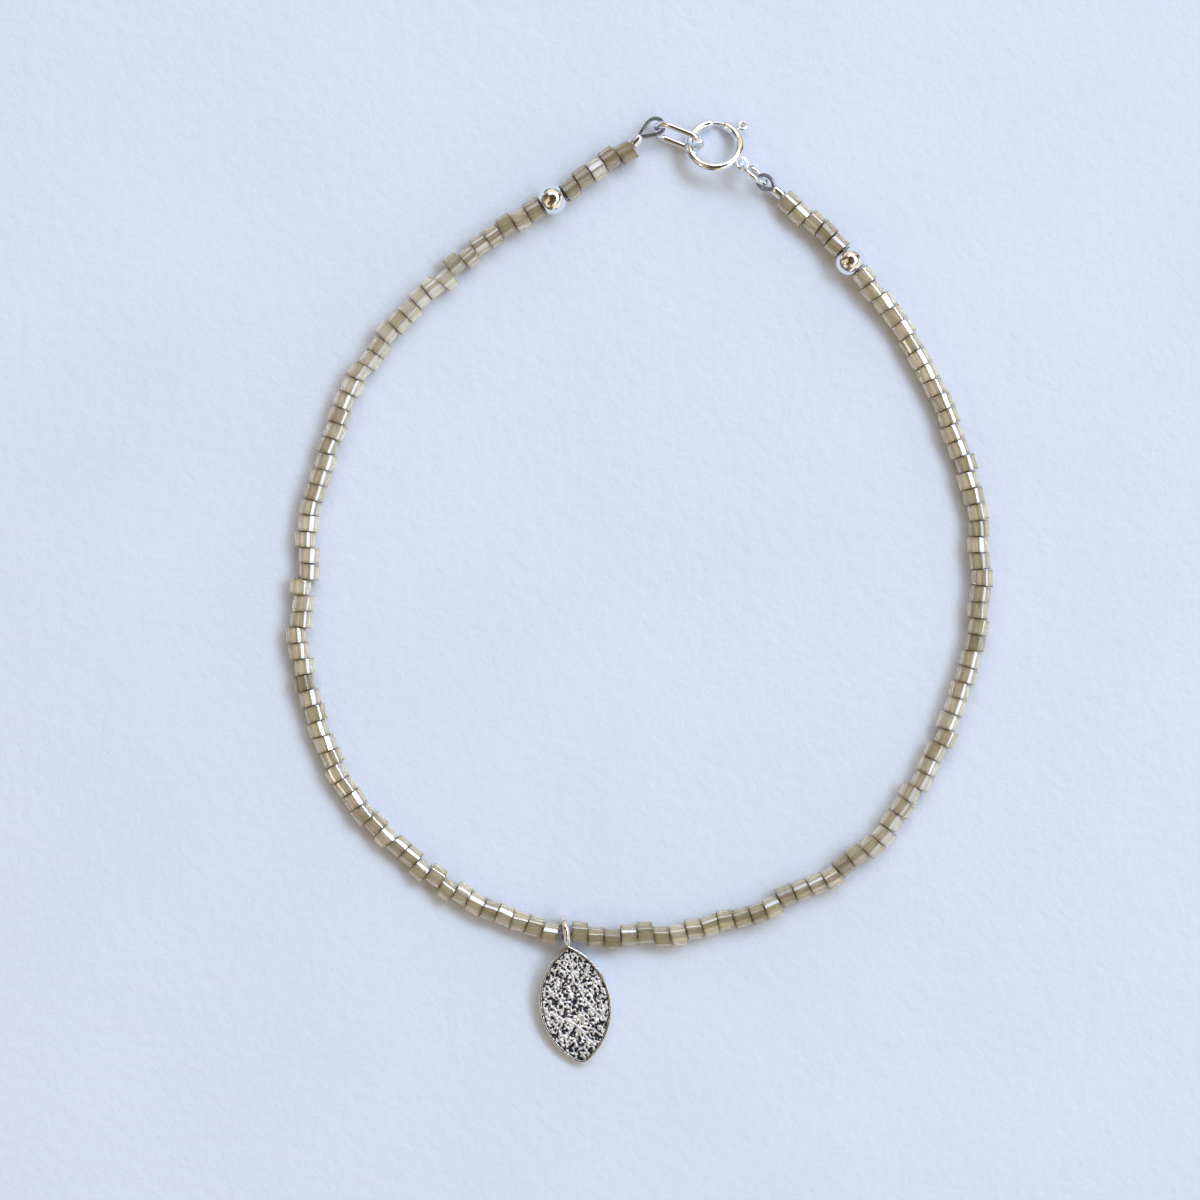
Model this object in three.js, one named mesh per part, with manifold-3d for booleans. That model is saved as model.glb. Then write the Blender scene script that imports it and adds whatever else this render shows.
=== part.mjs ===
// Beaded charm bracelet, closed with a spring ring clasp and lying flat.
//
// Millimetres. +Z is up and the bracelet rests on z = 0. +Y runs from the leaf
// charm to the clasp. The strand is followed from the clasp's left side, round
// the charm at the bottom, to the clasp's right side.

import * as THREE from "three";
import { mergeVertices } from "three/addons/utils/BufferGeometryUtils.js";
import Module from "manifold-3d";

const wasm = await Module();
wasm.setup();

const DEGREE = Math.PI / 180;

// ---------------------------------------------------------------------------
// Driving dimensions
// ---------------------------------------------------------------------------

const glassBead = { diameter: 1.68, length: 1.26, sides: 8 };
const cable = { diameter: 0.34, sides: 8, loopSteps: 28 };
const silverBead = { diameter: 2.5, length: 2.1, bore: 1.5, sides: 16, rows: 8 };
const crimp = { diameter: 0.95, bore: 0.78, length: 1.1, sides: 12 };

// Facets of the smallest rings: round the wire, and round the ring.
const smallRing = { sides: 8, steps: 16 };

// Clearance between neighbours on the cable, face to face, and between the
// cable's two strands where they lie side by side.
const neighbourGap = 0.06;
const strandGap = 0.02;

// The spring ring lies tilted, its lower side (-Y) raised.
const clasp = { x: 6.13, y: 36.96, z: 1.26, tilt: -23 * DEGREE };
// Angles are in degrees round its centre. The tube's gap runs from its end to its
// start, and its bore from there back to the bore's end, past the slot.
const claspTube = { radius: 2.08, diameter: 0.82, sides: 8, steps: 40, start: 96.4, end: 427 };
const claspBore = { diameter: 0.52, sides: 8, steps: 20, end: -60, blindEnd: 107, blindSteps: 3 };
const claspSlot = { width: 0.34, start: -5, end: 43, reach: 0.3, segments: 8 };
const claspEye = { angle: -35, droop: 22, reach: 0.72, ring: 0.5, wire: 0.26 };
const claspBolt = { diameter: 0.34, steps: 16, tail: 27, tip: 100.4 };
const trigger = { angle: 38.5, radius: 2.98, ring: 0.33, wire: 0.3, stem: 0.24 };

// The oval ring that the clasp hooks into stands steeply, its long sides one above the other.
const endRing = {
  length: 4.5, width: 2.8, wire: 0.6, sides: 8, steps: 28,
  x: 3.12, y: 37.67, heading: -21.8 * DEGREE, steepness: 66 * DEGREE,
};

// The jump ring hangs from the clasp's eye and stands on its rim.
const jumpRing = {
  diameter: 2.92, wire: 0.44, sides: 8, steps: 26,
  heading: 139 * DEGREE, steepness: 72 * DEGREE, eyeAngle: 9,
};

// The leaf's plate runs from its bail ring down to the tip that touches the surface.
const leaf = {
  halfLength: 5.05, halfWidth: 2.98, thickness: 0.75, tipRadius: 0.7, segments: 14,
  rimWidth: 0.24, rimHeight: 0.14, heading: 7.6 * DEGREE,
};
const bail = {
  diameter: 2.7, wire: 0.58, sides: 8, steps: 22,
  x: -6.27, y: -28.15, roll: 5 * DEGREE, overlap: 0.14,
};

// Centre of the bracelet's outline in the coordinates used for the route below.
const outlineCentre = { x: -0.11, y: 0.06 };

// The cable's route through the beads, seen from above, from the left crimp to the right one.
const route = [
  { x: -0.8, y: 36.9 },
  { x: -4.2, y: 34.6 },
  { x: -7.3, y: 32.5 },
  { x: -12.8, y: 29.1 },
  { x: -16.7, y: 25.7 },
  { x: -20.4, y: 22.0 },
  { x: -23.6, y: 17.6 },
  { x: -25.8, y: 12.2 },
  { x: -27.5, y: 6.6 },
  { x: -27.8, y: 1.7 },
  { x: -28.4, y: -4.1 },
  { x: -27.0, y: -10.7 },
  { x: -24.6, y: -16.1 },
  { x: -20.4, y: -21.1 },
  { x: -15.9, y: -24.7 },
  { x: -10.9, y: -27.3 },
  { x: -6.4, y: -28.4 },
  { x: -1.3, y: -28.7 },
  { x: 5.3, y: -28.0 },
  { x: 12.0, y: -25.6 },
  { x: 17.3, y: -22.6 },
  { x: 21.9, y: -17.8 },
  { x: 25.2, y: -12.0 },
  { x: 27.3, y: -5.7 },
  { x: 28.2, y: 0.9 },
  { x: 27.6, y: 7.6 },
  { x: 25.5, y: 14.2 },
  { x: 22.7, y: 20.0 },
  { x: 19.2, y: 25.1 },
  { x: 15.7, y: 29.1 },
  { x: 11.8, y: 32.65 },
];

// What is strung on the cable besides glass beads: where its middle is along
// the route, how much of the cable it takes, and how far it lifts the cable.
const silverLift = (silverBead.diameter - glassBead.diameter) / 2;
const landmarks = [
  { name: "silver_bead_left", at: 7.93, takes: silverBead.length, lift: silverLift },
  { name: "leaf_charm", at: 88.0, takes: 1.1, lift: 0.1 },
  { name: "silver_bead_right", at: 168.85, takes: silverBead.length, lift: silverLift },
];

// Distance along the cable over which a lift fades out.
const liftSpread = 4.5;

// Glass beads between one landmark and the next, and the runs that they are split over.
const stretches = [
  { beads: 5, runs: 1 },
  { beads: 59, runs: 5 },
  { beads: 58, runs: 5 },
  { beads: 5, runs: 1 },
];

// Beads that sit out of line on the cable, counted from the left crimp.
// Positive shifts are towards the inside of the loop.
const strayBeads = [
  { bead: 13, shift: 0.22 },
  { bead: 33, shift: 0.2 },
  { bead: 34, shift: 0.22 },
  { bead: 35, shift: -0.24 },
  { bead: 36, shift: 0.2 },
  { bead: 54, shift: 0.2 },
  { bead: 56, shift: 0.24 },
  { bead: 58, shift: 0.24 },
  { bead: 61, shift: 0.2 },
  { bead: 65, shift: 0.24 },
  { bead: 69, shift: 0.26 },
  { bead: 76, shift: -0.22 },
  { bead: 78, shift: 0.24 },
  { bead: 83, shift: 0.24 },
  { bead: 85, shift: -0.22 },
  { bead: 88, shift: 0.24 },
];

// The crimps, each from its bead side to its loop side.
const crimpLeft = { from: { x: -0.76, y: 36.95 }, to: { x: -0.01, y: 37.75 }, z: 0.88 };
const crimpRight = { from: { x: 11.83, y: 32.74 }, to: { x: 10.98, y: 33.45 }, z: 0.88 };

// The cable's end loops, from one side of the crimp's mouth to the other.
const loopLeft = [
  { x: 0.18, y: 38.3, z: 0.94 },
  { x: 0.52, y: 38.82, z: 1.0 },
  { x: 0.95, y: 39.15, z: 1.08 },
  { x: 1.42, y: 39.15, z: 1.18 },
  { x: 1.78, y: 38.88, z: 1.3 },
  { x: 1.9, y: 38.5, z: 1.42 },
  { x: 1.78, y: 38.12, z: 1.5 },
  { x: 1.4, y: 37.88, z: 1.48 },
  { x: 0.95, y: 37.8, z: 1.35 },
  { x: 0.5, y: 37.74, z: 1.1 },
];
const loopRight = [
  { x: 10.5, y: 33.36, z: 0.93 },
  { x: 10.12, y: 33.4, z: 1.02 },
  { x: 9.8, y: 33.66, z: 1.1 },
  { x: 9.7, y: 34.06, z: 1.15 },
  { x: 9.9, y: 34.4, z: 1.15 },
  { x: 10.26, y: 34.5, z: 1.1 },
  { x: 10.63, y: 34.33, z: 1.0 },
  { x: 10.93, y: 33.97, z: 0.92 },
];

// ---------------------------------------------------------------------------
// Materials
// ---------------------------------------------------------------------------

function glass() {
  return new THREE.MeshStandardMaterial({ color: 0xb5a987, roughness: 0.15, metalness: 0 });
}

function silver() {
  return new THREE.MeshStandardMaterial({ color: 0xe3dfd8, roughness: 0.18, metalness: 1 });
}

function oxidisedSilver() {
  return new THREE.MeshStandardMaterial({ color: 0xbab4ab, roughness: 0.3, metalness: 1 });
}

function steelCable() {
  return new THREE.MeshStandardMaterial({ color: 0x6b7076, roughness: 0.4, metalness: 1 });
}

// ---------------------------------------------------------------------------
// Solids
// ---------------------------------------------------------------------------

// Vertices nearer than this are one vertex.
const weldDistance = 1e-5;

// A closed geometry as a solid that can be joined and cut.
function solidOf(geometry, matrix = new THREE.Matrix4()) {
  const bare = geometry.clone().applyMatrix4(matrix);
  bare.deleteAttribute("normal");
  bare.deleteAttribute("uv");
  const merged = mergeVertices(bare, weldDistance);
  const mesh = new wasm.Mesh({
    numProp: 3,
    vertProperties: new Float32Array(merged.attributes.position.array),
    triVerts: new Uint32Array(merged.index.array),
  });
  return new wasm.Manifold(mesh);
}

// A solid as a geometry with flat shading.
function geometryOf(solid) {
  const mesh = solid.getMesh();
  const geometry = new THREE.BufferGeometry();
  geometry.setAttribute("position", new THREE.BufferAttribute(mesh.vertProperties, 3));
  geometry.setIndex(new THREE.BufferAttribute(mesh.triVerts, 1));
  geometry.computeVertexNormals();
  return geometry;
}

function namedMesh(name, geometry, material) {
  const mesh = new THREE.Mesh(geometry, material);
  mesh.name = name;
  return mesh;
}

// A regular polygon outline whose flats are as far apart as a round of that diameter is wide.
function polygonOutline(diameter, sides) {
  const cornerRadius = diameter / 2 / Math.cos(Math.PI / sides);
  const corners = [];
  for (let i = 0; i < sides; i += 1) {
    const angle = (i + 0.5) * 2 * Math.PI / sides;
    corners.push(new THREE.Vector2(cornerRadius * Math.cos(angle), cornerRadius * Math.sin(angle)));
  }
  return new THREE.Shape(corners);
}

// Wire of one diameter swept along a curve.
function wireAlong(curve, diameter, sides, steps) {
  const options = { extrudePath: curve, steps, bevelEnabled: false };
  return new THREE.ExtrudeGeometry(polygonOutline(diameter, sides), options);
}

// An arc in the XY plane about the origin, between two angles in degrees.
class FlatArc extends THREE.Curve {
  constructor(radius, startDegrees, endDegrees) {
    super();
    this.radius = radius;
    this.start = startDegrees * DEGREE;
    this.sweep = (endDegrees - startDegrees) * DEGREE;
  }

  getPoint(t, target = new THREE.Vector3()) {
    const angle = this.start + t * this.sweep;
    return target.set(this.radius * Math.cos(angle), this.radius * Math.sin(angle), 0);
  }
}

// A point at an angle in degrees round the origin of the XY plane.
function polar(radius, degrees) {
  return new THREE.Vector3(radius * Math.cos(degrees * DEGREE), radius * Math.sin(degrees * DEGREE), 0);
}

// The turn that lays a piece's own X along a heading in the XY plane and
// raises its own Y from the surface by the given steepness.
function standingTurn(heading, steepness) {
  const along = new THREE.Vector3(Math.cos(heading), Math.sin(heading), 0);
  const level = new THREE.Vector3(-Math.sin(heading), Math.cos(heading), 0);
  const up = new THREE.Vector3(0, 0, 1);
  const raised = level.multiplyScalar(Math.cos(steepness)).addScaledVector(up, Math.sin(steepness));
  const normal = new THREE.Vector3().crossVectors(along, raised);
  return new THREE.Matrix4().makeBasis(along, raised, normal);
}

// ---------------------------------------------------------------------------
// The strand
// ---------------------------------------------------------------------------

// The cable's centreline through the beads, at its real height.
class Strand {
  constructor() {
    const points = route.map((p) => new THREE.Vector3(p.x, p.y, 0));
    this.plan = new THREE.CatmullRomCurve3(points, false, "catmullrom", 0.5);
    this.plan.arcLengthDivisions = 3000;
    this.length = this.plan.getLength();
  }

  height(distance) {
    let z = glassBead.diameter / 2;
    for (const mark of landmarks) {
      z += mark.lift * Math.exp(-(((distance - mark.at) / liftSpread) ** 2));
    }
    return z;
  }

  at(distance) {
    const point = this.plan.getPointAt(THREE.MathUtils.clamp(distance / this.length, 0, 1));
    point.z = this.height(distance);
    return point;
  }

  // Position and directions at a distance along the strand: along it, towards
  // the inside of the loop, and away from the surface.
  stationAt(distance) {
    const step = 0.2;
    const before = this.at(Math.max(distance - step, 0));
    const after = this.at(Math.min(distance + step, this.length));
    const along = after.sub(before).normalize();
    const inward = new THREE.Vector3(-along.y, along.x, 0).normalize();
    const up = new THREE.Vector3().crossVectors(along, inward);
    return { point: this.at(distance), along, inward, up };
  }
}

const strand = new Strand();

// Middles of a stretch's beads, spread evenly between its two ends.
function beadMiddles(count, from, to) {
  const pitch = (to - from) / count;
  return Array.from({ length: count }, (_, i) => from + (i + 0.5) * pitch);
}

// A bead's place on the strand. A stray bead is moved off the cable's line.
function beadFrame(number, distance) {
  const frame = strand.stationAt(distance);
  const stray = strayBeads.find((entry) => entry.bead === number);
  frame.point.addScaledVector(frame.inward, stray ? stray.shift : 0);
  return frame;
}

// A run's outline, row by row: each bead's two rims, with the thread between them.
// A row is a ring of the given radius, at an offset along its frame.
function runRows(frames, threadFrames) {
  const half = glassBead.length / 2;
  const glassRadius = glassBead.diameter / 2;
  const threadRadius = cable.diameter / 2;
  const last = frames.length - 1;
  const rows = [{ radius: 0, offset: -half, frame: frames[0] }];
  frames.forEach((frame, i) => {
    if (i > 0) rows.push({ radius: threadRadius, offset: -half, frame });
    rows.push({ radius: glassRadius, offset: -half, frame });
    rows.push({ radius: glassRadius, offset: half, frame });
    if (i < last) rows.push({ radius: threadRadius, offset: half, frame });
  });
  if (threadFrames.length > 0) rows.push({ radius: threadRadius, offset: half, frame: frames[last] });
  threadFrames.forEach((frame) => rows.push({ radius: threadRadius, offset: 0, frame }));
  rows.push({ ...rows[rows.length - 1], radius: 0 });
  return rows;
}

// One run of beads as a lathe shape whose rows are carried to their frames.
// The flats of each bead are as far apart as a round bead is wide, and one faces down.
function glassRun(name, frames, threadFrames) {
  const { sides } = glassBead;
  const cornerScale = 1 / Math.cos(Math.PI / sides);
  const rows = runRows(frames, threadFrames);
  const profile = rows.map((row, i) => new THREE.Vector2(row.radius * cornerScale, i));
  const body = new THREE.LatheGeometry(profile, sides, Math.PI / sides);
  const position = body.attributes.position;
  for (let i = 0; i < position.count; i += 1) {
    const { frame, offset } = rows[i % rows.length];
    const placed = frame.point.clone()
      .addScaledVector(frame.inward, position.getX(i))
      .addScaledVector(frame.along, offset)
      .addScaledVector(frame.up, -position.getZ(i));
    position.setXYZ(i, placed.x, placed.y, placed.z);
  }
  return namedMesh(name, geometryOf(solidOf(body)), glass());
}

// All glass runs, numbered along the strand. The last run of a stretch carries
// the thread through the landmark after it.
function glassRuns() {
  const meshes = [];
  let beadNumber = 1;
  stretches.forEach((stretch, index) => {
    const before = landmarks[index - 1];
    const after = landmarks[index];
    const from = before ? before.at + before.takes / 2 : 0;
    const to = after ? after.at - after.takes / 2 : strand.length;
    const throughLandmark = after ? [after.at, after.at + after.takes / 2 - neighbourGap] : [];
    const frames = beadMiddles(stretch.beads, from, to).map((distance, i) => (
      beadFrame(beadNumber + i, distance)
    ));
    const perRun = Math.ceil(stretch.beads / stretch.runs);
    for (let run = 0; run < stretch.runs; run += 1) {
      const name = `glass_beads_${String(meshes.length + 1).padStart(2, "0")}`;
      const own = frames.slice(run * perRun, (run + 1) * perRun);
      const thread = run === stretch.runs - 1 ? throughLandmark : [];
      meshes.push(glassRun(name, own, thread.map((distance) => strand.stationAt(distance))));
    }
    beadNumber += stretch.beads;
  });
  return meshes;
}

// A round bead, flattened along its bore.
function silverBeadMesh(mark) {
  const bore = silverBead.bore / 2;
  const radius = silverBead.diameter / 2;
  const halfLength = silverBead.length / 2 - neighbourGap;
  const edge = Math.acos(bore / radius);
  const profile = [];
  for (let i = 0; i <= silverBead.rows; i += 1) {
    const angle = edge * (2 * i / silverBead.rows - 1);
    const height = halfLength * Math.sin(angle) / Math.sin(edge);
    profile.push(new THREE.Vector2(radius * Math.cos(angle), height));
  }
  profile.push(profile[0].clone());
  const body = new THREE.LatheGeometry(profile, silverBead.sides);
  const { point, along, inward, up } = strand.stationAt(mark.at);
  const placed = new THREE.Matrix4().makeBasis(inward, along, up.negate()).setPosition(point);
  return namedMesh(mark.name, geometryOf(solidOf(body, placed)), silver());
}

// ---------------------------------------------------------------------------
// Crimps and wire loops
// ---------------------------------------------------------------------------

function crimpAxis(ends) {
  const from = new THREE.Vector3(ends.from.x, ends.from.y, ends.z);
  const to = new THREE.Vector3(ends.to.x, ends.to.y, ends.z);
  const along = to.clone().sub(from).normalize();
  const side = new THREE.Vector3(-along.y, along.x, 0);
  return { from, to, along, side };
}

function crimpMesh(name, ends) {
  const inner = crimp.bore / 2;
  const outer = crimp.diameter / 2;
  const half = crimp.length / 2 - neighbourGap;
  const profile = [
    new THREE.Vector2(inner, -half),
    new THREE.Vector2(outer, -half),
    new THREE.Vector2(outer, half),
    new THREE.Vector2(inner, half),
    new THREE.Vector2(inner, -half),
  ];
  const body = new THREE.LatheGeometry(profile, crimp.sides);
  const { from, to, along, side } = crimpAxis(ends);
  const up = new THREE.Vector3().crossVectors(along, side);
  const middle = from.clone().lerp(to, 0.5);
  const placed = new THREE.Matrix4().makeBasis(side, along, up.negate()).setPosition(middle);
  return namedMesh(name, geometryOf(solidOf(body, placed)), silver());
}

// The cable leaves the crimp, goes round its ring and comes back beside itself.
function wireLoopMesh(name, ends, loop) {
  const { to, along, side } = crimpAxis(ends);
  const apart = (cable.diameter + strandGap) / 2;
  const inside = to.clone().addScaledVector(along, -crimp.length + 2 * neighbourGap);
  const mouth = to.clone().addScaledVector(along, cable.diameter / 3);
  const leave = [inside, to, mouth].map((p) => p.clone().addScaledVector(side, apart));
  const back = [mouth, to, inside].map((p) => p.clone().addScaledVector(side, -apart));
  const around = loop.map((p) => new THREE.Vector3(p.x, p.y, p.z));
  const curve = new THREE.CatmullRomCurve3([...leave, ...around, ...back], false, "centripetal");
  return namedMesh(name, wireAlong(curve, cable.diameter, cable.sides, cable.loopSteps), steelCable());
}

// ---------------------------------------------------------------------------
// Rings
// ---------------------------------------------------------------------------

// A ring with straight sides: a torus whose two halves are moved apart.
function ovalRingGeometry(length, width, wire, sides, steps) {
  const centreRadius = (width - wire) / 2;
  const halfStraight = (length - width) / 2;
  const ring = new THREE.TorusGeometry(centreRadius, wire / 2, sides, steps);
  ring.rotateZ(Math.PI / steps);
  const position = ring.attributes.position;
  for (let i = 0; i < position.count; i += 1) {
    const x = position.getX(i);
    position.setX(i, x + Math.sign(x) * halfStraight);
  }
  return ring;
}

function endRingMesh() {
  const { length, width, wire, sides, steps, x, y, heading, steepness } = endRing;
  const height = (width - wire) / 2 * Math.sin(steepness) + wire / 2;
  const placed = standingTurn(heading, steepness).setPosition(x, y, height);
  const ring = solidOf(ovalRingGeometry(length, width, wire, sides, steps), placed);
  return namedMesh("end_ring", geometryOf(ring), silver());
}

function jumpRingMesh(eyeCentre) {
  const { diameter, wire, sides, steps, heading, steepness, eyeAngle } = jumpRing;
  const centreRadius = (diameter - wire) / 2;
  const turn = standingTurn(heading, steepness);
  const fromCentre = polar(centreRadius, eyeAngle).applyMatrix4(turn);
  const centre = eyeCentre.clone().sub(fromCentre);
  const torus = new THREE.TorusGeometry(centreRadius, wire / 2, sides, steps);
  return namedMesh("jump_ring", geometryOf(solidOf(torus, turn.setPosition(centre))), silver());
}

// ---------------------------------------------------------------------------
// The spring ring clasp, in its own plane
// ---------------------------------------------------------------------------

// The eye stands out from the tube and droops towards the surface.
function claspEyeMatrix() {
  const outwards = new THREE.Matrix4().makeRotationZ(claspEye.angle * DEGREE);
  const droop = new THREE.Matrix4().makeRotationY(claspEye.droop * DEGREE);
  const ontoTube = new THREE.Matrix4().makeTranslation(claspTube.radius, 0, 0);
  const reach = new THREE.Matrix4().makeTranslation(claspEye.reach, 0, 0);
  return outwards.multiply(ontoTube).multiply(droop).multiply(reach);
}

// A length of the tube's or bolt's round wire, between two angles.
function arcWire(start, end, diameter, sides, steps) {
  return solidOf(wireAlong(new FlatArc(claspTube.radius, start, end), diameter, sides, steps));
}

// The flat cutter for the slot in the tube's outer wall.
function slotCutter() {
  const { width, start, end, reach, segments } = claspSlot;
  const outerRadius = claspTube.radius + claspTube.diameter / 2 + reach;
  const outline = new THREE.Shape();
  outline.absarc(0, 0, outerRadius, start * DEGREE, end * DEGREE);
  outline.absarc(0, 0, claspTube.radius, end * DEGREE, start * DEGREE, true);
  const body = new THREE.ExtrudeGeometry(outline, {
    depth: width, bevelEnabled: false, curveSegments: segments,
  });
  body.translate(0, 0, -width / 2);
  return solidOf(body);
}

function claspRingMesh() {
  const { diameter, sides, steps, start, end } = claspTube;
  const tube = arcWire(start, end, diameter, sides, steps);
  const eyeTorus = new THREE.TorusGeometry(
    claspEye.ring, claspEye.wire / 2, smallRing.sides, smallRing.steps,
  );
  const eye = solidOf(eyeTorus, claspEyeMatrix());

  const pastEnd = 2;
  const boreMouth = end - 360 + pastEnd;
  const bore = arcWire(claspBore.end, boreMouth, claspBore.diameter, claspBore.sides, claspBore.steps);
  const blindBore = arcWire(
    start - pastEnd, claspBore.blindEnd, claspBore.diameter, claspBore.sides, claspBore.blindSteps,
  );
  const solid = tube.add(eye).subtract(bore).subtract(blindBore).subtract(slotCutter());
  return namedMesh("clasp_ring", geometryOf(solid), silver());
}

// The bolt bridges the ring's gap, and its trigger stands out through the slot.
function claspBoltMesh() {
  const { diameter, steps, tail, tip } = claspBolt;
  const wire = arcWire(tail, tip, diameter, cable.sides, steps);
  const stemLine = new THREE.LineCurve3(
    polar(claspTube.radius, trigger.angle),
    polar(trigger.radius - trigger.ring, trigger.angle),
  );
  const stem = solidOf(wireAlong(stemLine, trigger.stem, smallRing.sides, 1));
  const curlTorus = new THREE.TorusGeometry(
    trigger.ring, trigger.wire / 2, smallRing.sides, smallRing.steps,
  );
  const curlPlace = new THREE.Matrix4().setPosition(polar(trigger.radius, trigger.angle));
  const solid = wire.add(stem).add(solidOf(curlTorus, curlPlace));
  return namedMesh("clasp_bolt", geometryOf(solid), silver());
}

function claspGroup() {
  const group = new THREE.Group();
  group.position.set(clasp.x, clasp.y, clasp.z);
  group.rotation.x = clasp.tilt;
  group.add(claspRingMesh(), claspBoltMesh());
  return group;
}

// ---------------------------------------------------------------------------
// The leaf charm, with the bail ring's centre as its origin and the leaf along -Y
// ---------------------------------------------------------------------------

// A marquise between two arcs, pointed at the top and rounded at the lower tip.
function leafOutline(inset) {
  const halfWidth = leaf.halfWidth - inset;
  const sideRadius = (leaf.halfLength ** 2 + leaf.halfWidth ** 2) / (2 * leaf.halfWidth) - inset;
  const sideCentre = sideRadius - halfWidth;
  const topAngle = Math.acos(sideCentre / sideRadius);
  const tipRadius = leaf.tipRadius - inset;
  const tipCentre = Math.sqrt((sideRadius - tipRadius) ** 2 - sideCentre ** 2);
  const tipAngle = Math.atan2(tipCentre, sideCentre);
  const outline = new THREE.Shape();
  outline.absarc(sideCentre, 0, sideRadius, Math.PI - topAngle, Math.PI + tipAngle, false);
  outline.absarc(0, -tipCentre, tipRadius, Math.PI + tipAngle, 2 * Math.PI - tipAngle, false);
  outline.absarc(-sideCentre, 0, sideRadius, -tipAngle, topAngle, false);
  return outline;
}

function leafCharmMesh() {
  const options = { depth: leaf.thickness, bevelEnabled: false, curveSegments: leaf.segments };
  const plateBody = new THREE.ExtrudeGeometry(leafOutline(0), options);
  const bailReach = bail.diameter / 2;
  const middle = -(bailReach - bail.overlap + leaf.halfLength);
  const platePlace = new THREE.Matrix4().makeTranslation(0, middle, -leaf.thickness / 2);
  const plate = solidOf(plateBody, platePlace);

  const recessOptions = { ...options, depth: leaf.rimHeight * 2 };
  const recessBody = new THREE.ExtrudeGeometry(leafOutline(leaf.rimWidth), recessOptions);
  const recessTop = leaf.thickness / 2 - leaf.rimHeight;
  const recess = solidOf(recessBody, new THREE.Matrix4().makeTranslation(0, middle, recessTop));

  const ringRadius = (bail.diameter - bail.wire) / 2;
  const ringBody = new THREE.TorusGeometry(ringRadius, bail.wire / 2, bail.sides, bail.steps);
  ringBody.rotateY(Math.PI / 2 + bail.roll);
  const solid = plate.subtract(recess).add(solidOf(ringBody));

  const length = bailReach - bail.overlap + 2 * leaf.halfLength;
  const slope = Math.asin((bailReach - leaf.thickness / 2) / length);
  const mesh = namedMesh("leaf_charm", geometryOf(solid), oxidisedSilver());
  mesh.rotation.set(slope, 0, leaf.heading, "ZYX");
  mesh.position.set(bail.x, bail.y, bailReach);
  return mesh;
}

// ---------------------------------------------------------------------------
// The bracelet
// ---------------------------------------------------------------------------

const bracelet = new THREE.Group();
bracelet.position.set(-outlineCentre.x, -outlineCentre.y, 0);

bracelet.add(...glassRuns());
landmarks.filter((mark) => mark.name !== "leaf_charm").forEach((mark) => {
  bracelet.add(silverBeadMesh(mark));
});
bracelet.add(leafCharmMesh());
bracelet.add(crimpMesh("crimp_left", crimpLeft), crimpMesh("crimp_right", crimpRight));
bracelet.add(wireLoopMesh("wire_loop_left", crimpLeft, loopLeft));
bracelet.add(wireLoopMesh("wire_loop_right", crimpRight, loopRight));
bracelet.add(endRingMesh());

const claspPieces = claspGroup();
claspPieces.updateMatrix();
const eyeMatrix = claspPieces.matrix.clone().multiply(claspEyeMatrix());
const eyeCentre = new THREE.Vector3().setFromMatrixPosition(eyeMatrix);
bracelet.add(claspPieces, jumpRingMesh(eyeCentre));

export default bracelet;
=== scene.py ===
"""Looks of the beaded charm bracelet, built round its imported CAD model.

Lengths in the tables below are in millimetres, in the model's own frame: +Z up,
+Y from the leaf charm to the clasp. Meshes are written in metres.
"""

import math
import random

import bpy
import numpy as np
from mathutils import Matrix, Vector, noise


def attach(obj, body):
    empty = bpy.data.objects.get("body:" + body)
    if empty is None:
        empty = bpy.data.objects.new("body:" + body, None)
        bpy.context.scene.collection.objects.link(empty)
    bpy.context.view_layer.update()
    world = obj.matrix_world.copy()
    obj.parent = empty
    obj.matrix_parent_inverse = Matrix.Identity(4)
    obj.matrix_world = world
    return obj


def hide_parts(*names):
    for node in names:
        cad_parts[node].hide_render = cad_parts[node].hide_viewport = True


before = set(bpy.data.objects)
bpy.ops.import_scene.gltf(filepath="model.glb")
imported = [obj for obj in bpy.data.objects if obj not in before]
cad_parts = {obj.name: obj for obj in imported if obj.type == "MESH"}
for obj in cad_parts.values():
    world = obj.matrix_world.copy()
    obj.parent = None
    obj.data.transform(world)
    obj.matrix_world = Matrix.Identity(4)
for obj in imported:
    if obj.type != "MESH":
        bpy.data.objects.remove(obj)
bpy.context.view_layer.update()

MM = 0.001
BRACELET = "bracelet"
BOLT = "clasp_bolt"
UP = Vector((0, 0, 1))

# ---------------------------------------------------------------------------
# Sizes and places
# ---------------------------------------------------------------------------

BEAD = {"radius": 0.88, "gap": 0.055, "bore": 0.41, "sides": 60}
# Steps of a bead's eased rim: how far below the end, and how far inside the wall.
BEAD_RIM = [(0.0, 0.035), (0.01, 0.01), (0.035, 0.0), (0.09, 0.0)]
BORE_EASE = {"inset": 0.03, "drop": 0.05}
# The random draws of the glass beads: their seed, and how much each bead and joint varies.
BEAD_SEED = 11
BEAD_FLATS = (9, 10, 10, 11)
BEAD_FLATNESS = (0.6, 0.82)
BEAD_SPREAD = {"radius": 0.035, "bore": 0.05, "yaw": 0.045, "sideways": 0.2, "shade": 0.2}
JOINT_SPREAD = {"shift": 0.03, "lean": 0.07, "nod": 0.02}
CABLE = {"radius": 0.17, "strands": 6}
SILVER_BEAD = {"radius": 1.25, "length": 2.1, "bore": 0.74}
CRIMP = {"radius": 0.475, "bore": 0.39, "length": 1.1}
NEIGHBOUR_GAP = 0.06
STRAND_GAP = 0.02

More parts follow.
